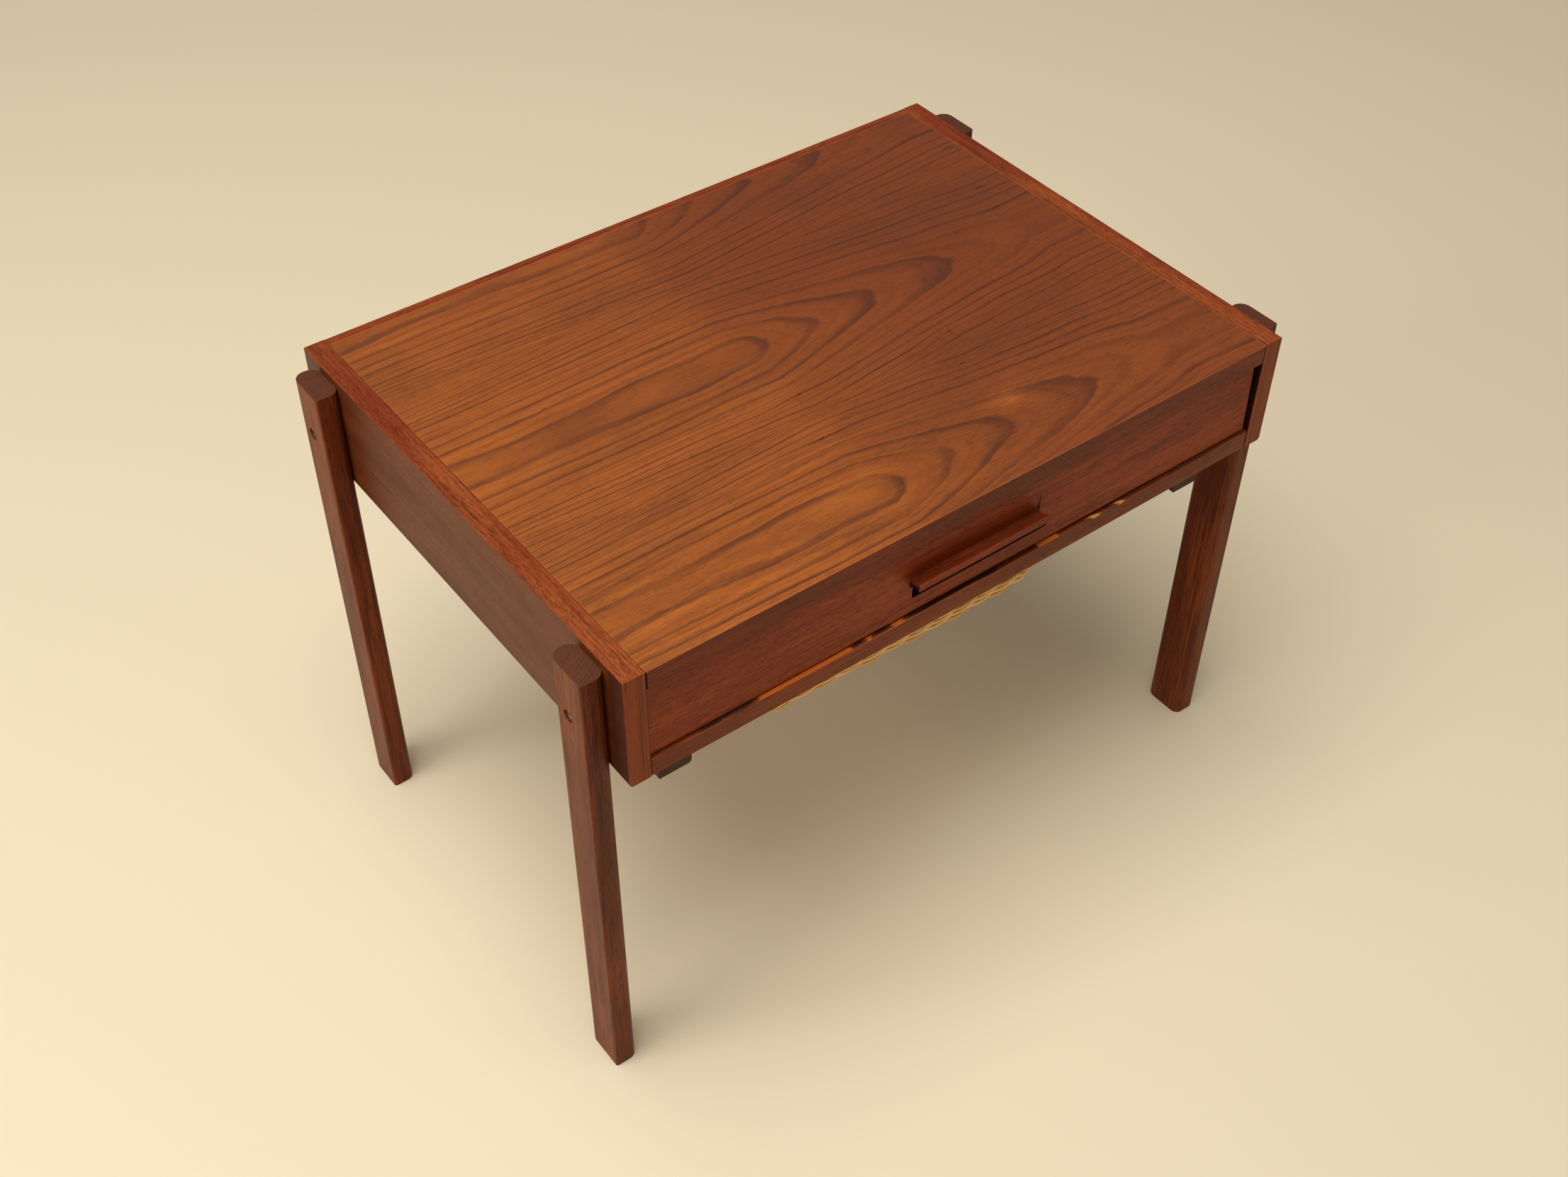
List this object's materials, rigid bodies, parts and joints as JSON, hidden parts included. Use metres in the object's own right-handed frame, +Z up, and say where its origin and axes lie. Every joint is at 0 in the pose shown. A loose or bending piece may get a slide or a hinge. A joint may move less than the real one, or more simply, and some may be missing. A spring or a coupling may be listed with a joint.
{
  "type": "sewing table",
  "caption": "Low rectangular wooden case on flat outboard legs, with a drawer behind a lip handle and a tapered wicker basket sliding in grooved runners underneath.",
  "frame": {"origin": "on the floor, at the centre of the whole object box", "axes": "+Z up, -Y towards the user at the drawer side, +X to the right seen from the drawer side"},
  "size_m": [0.639, 0.4396, 0.4435],
  "materials": {
    "teak_top": "oiled teak veneer with flame grain, satin",
    "teak_panel": "oiled solid teak, satin",
    "teak_front": "reddish teak with fine straight grain, satin",
    "teak_leg": "oiled solid teak, satin",
    "teak_dark": "dark stained hardwood, worn",
    "beech": "planed beech, unfinished",
    "plywood": "thin plywood sheet, unfinished",
    "rattan": "natural rattan cane, lightly varnished",
    "steel": "plain steel, slightly tarnished",
    "brass": "turned brass"
  },
  "bodies": {
    "case": {"side_panel_right": "teak_panel", "side_panel_left": "teak_panel", "top_panel": "teak_panel", "top_front_lipping": "teak_front", "top_back_lipping": "teak_panel", "top_veneer": "teak_top", "back_panel": "teak_panel", "front_rail": "teak_front", "back_rail": "beech", "drawer_runner_right": "beech", "drawer_runner_left": "beech", "drawer_stops": "beech", "basket_runner_right": "teak_dark", "basket_runner_left": "teak_dark", "leg_front_right": "teak_leg", "leg_front_left": "teak_leg", "leg_rear_right": "teak_leg", "leg_rear_left": "teak_leg", "leg_bolts": "steel", "leg_inserts": "brass", "leg_dowels": "beech", "top_dowels": "beech", "rail_dowels": "beech", "back_panel_dowels": "beech", "drawer_runner_screws": "steel", "basket_runner_screws": "steel"},
    "drawer": {"drawer_front": "teak_front", "drawer_handle": "teak_front", "drawer_side_left": "beech", "drawer_side_right": "beech", "drawer_back": "beech", "drawer_bottom": "plywood", "drawer_bottom_nails": "steel", "drawer_long_divider": "beech", "drawer_cross_divider_1": "beech", "drawer_cross_divider_2": "beech", "drawer_cross_divider_3": "beech"},
    "basket": {"basket_frame_right": "teak_dark", "basket_frame_left": "teak_dark", "basket_frame_front": "teak_dark", "basket_frame_back": "teak_dark", "basket_frame_dowels": "beech", "basket_wicker": "rattan", "basket_rim": "rattan"}
  },
  "joints": [
    {"name": "drawer_slide", "type": "slide", "parent": "case", "child": "drawer", "axis": [0, -1, 0], "range_m": [0, 0.3]},
    {"name": "basket_slide", "type": "slide", "parent": "case", "child": "basket", "axis": [0, -1, 0], "range_m": [0, 0.28]}
  ]
}
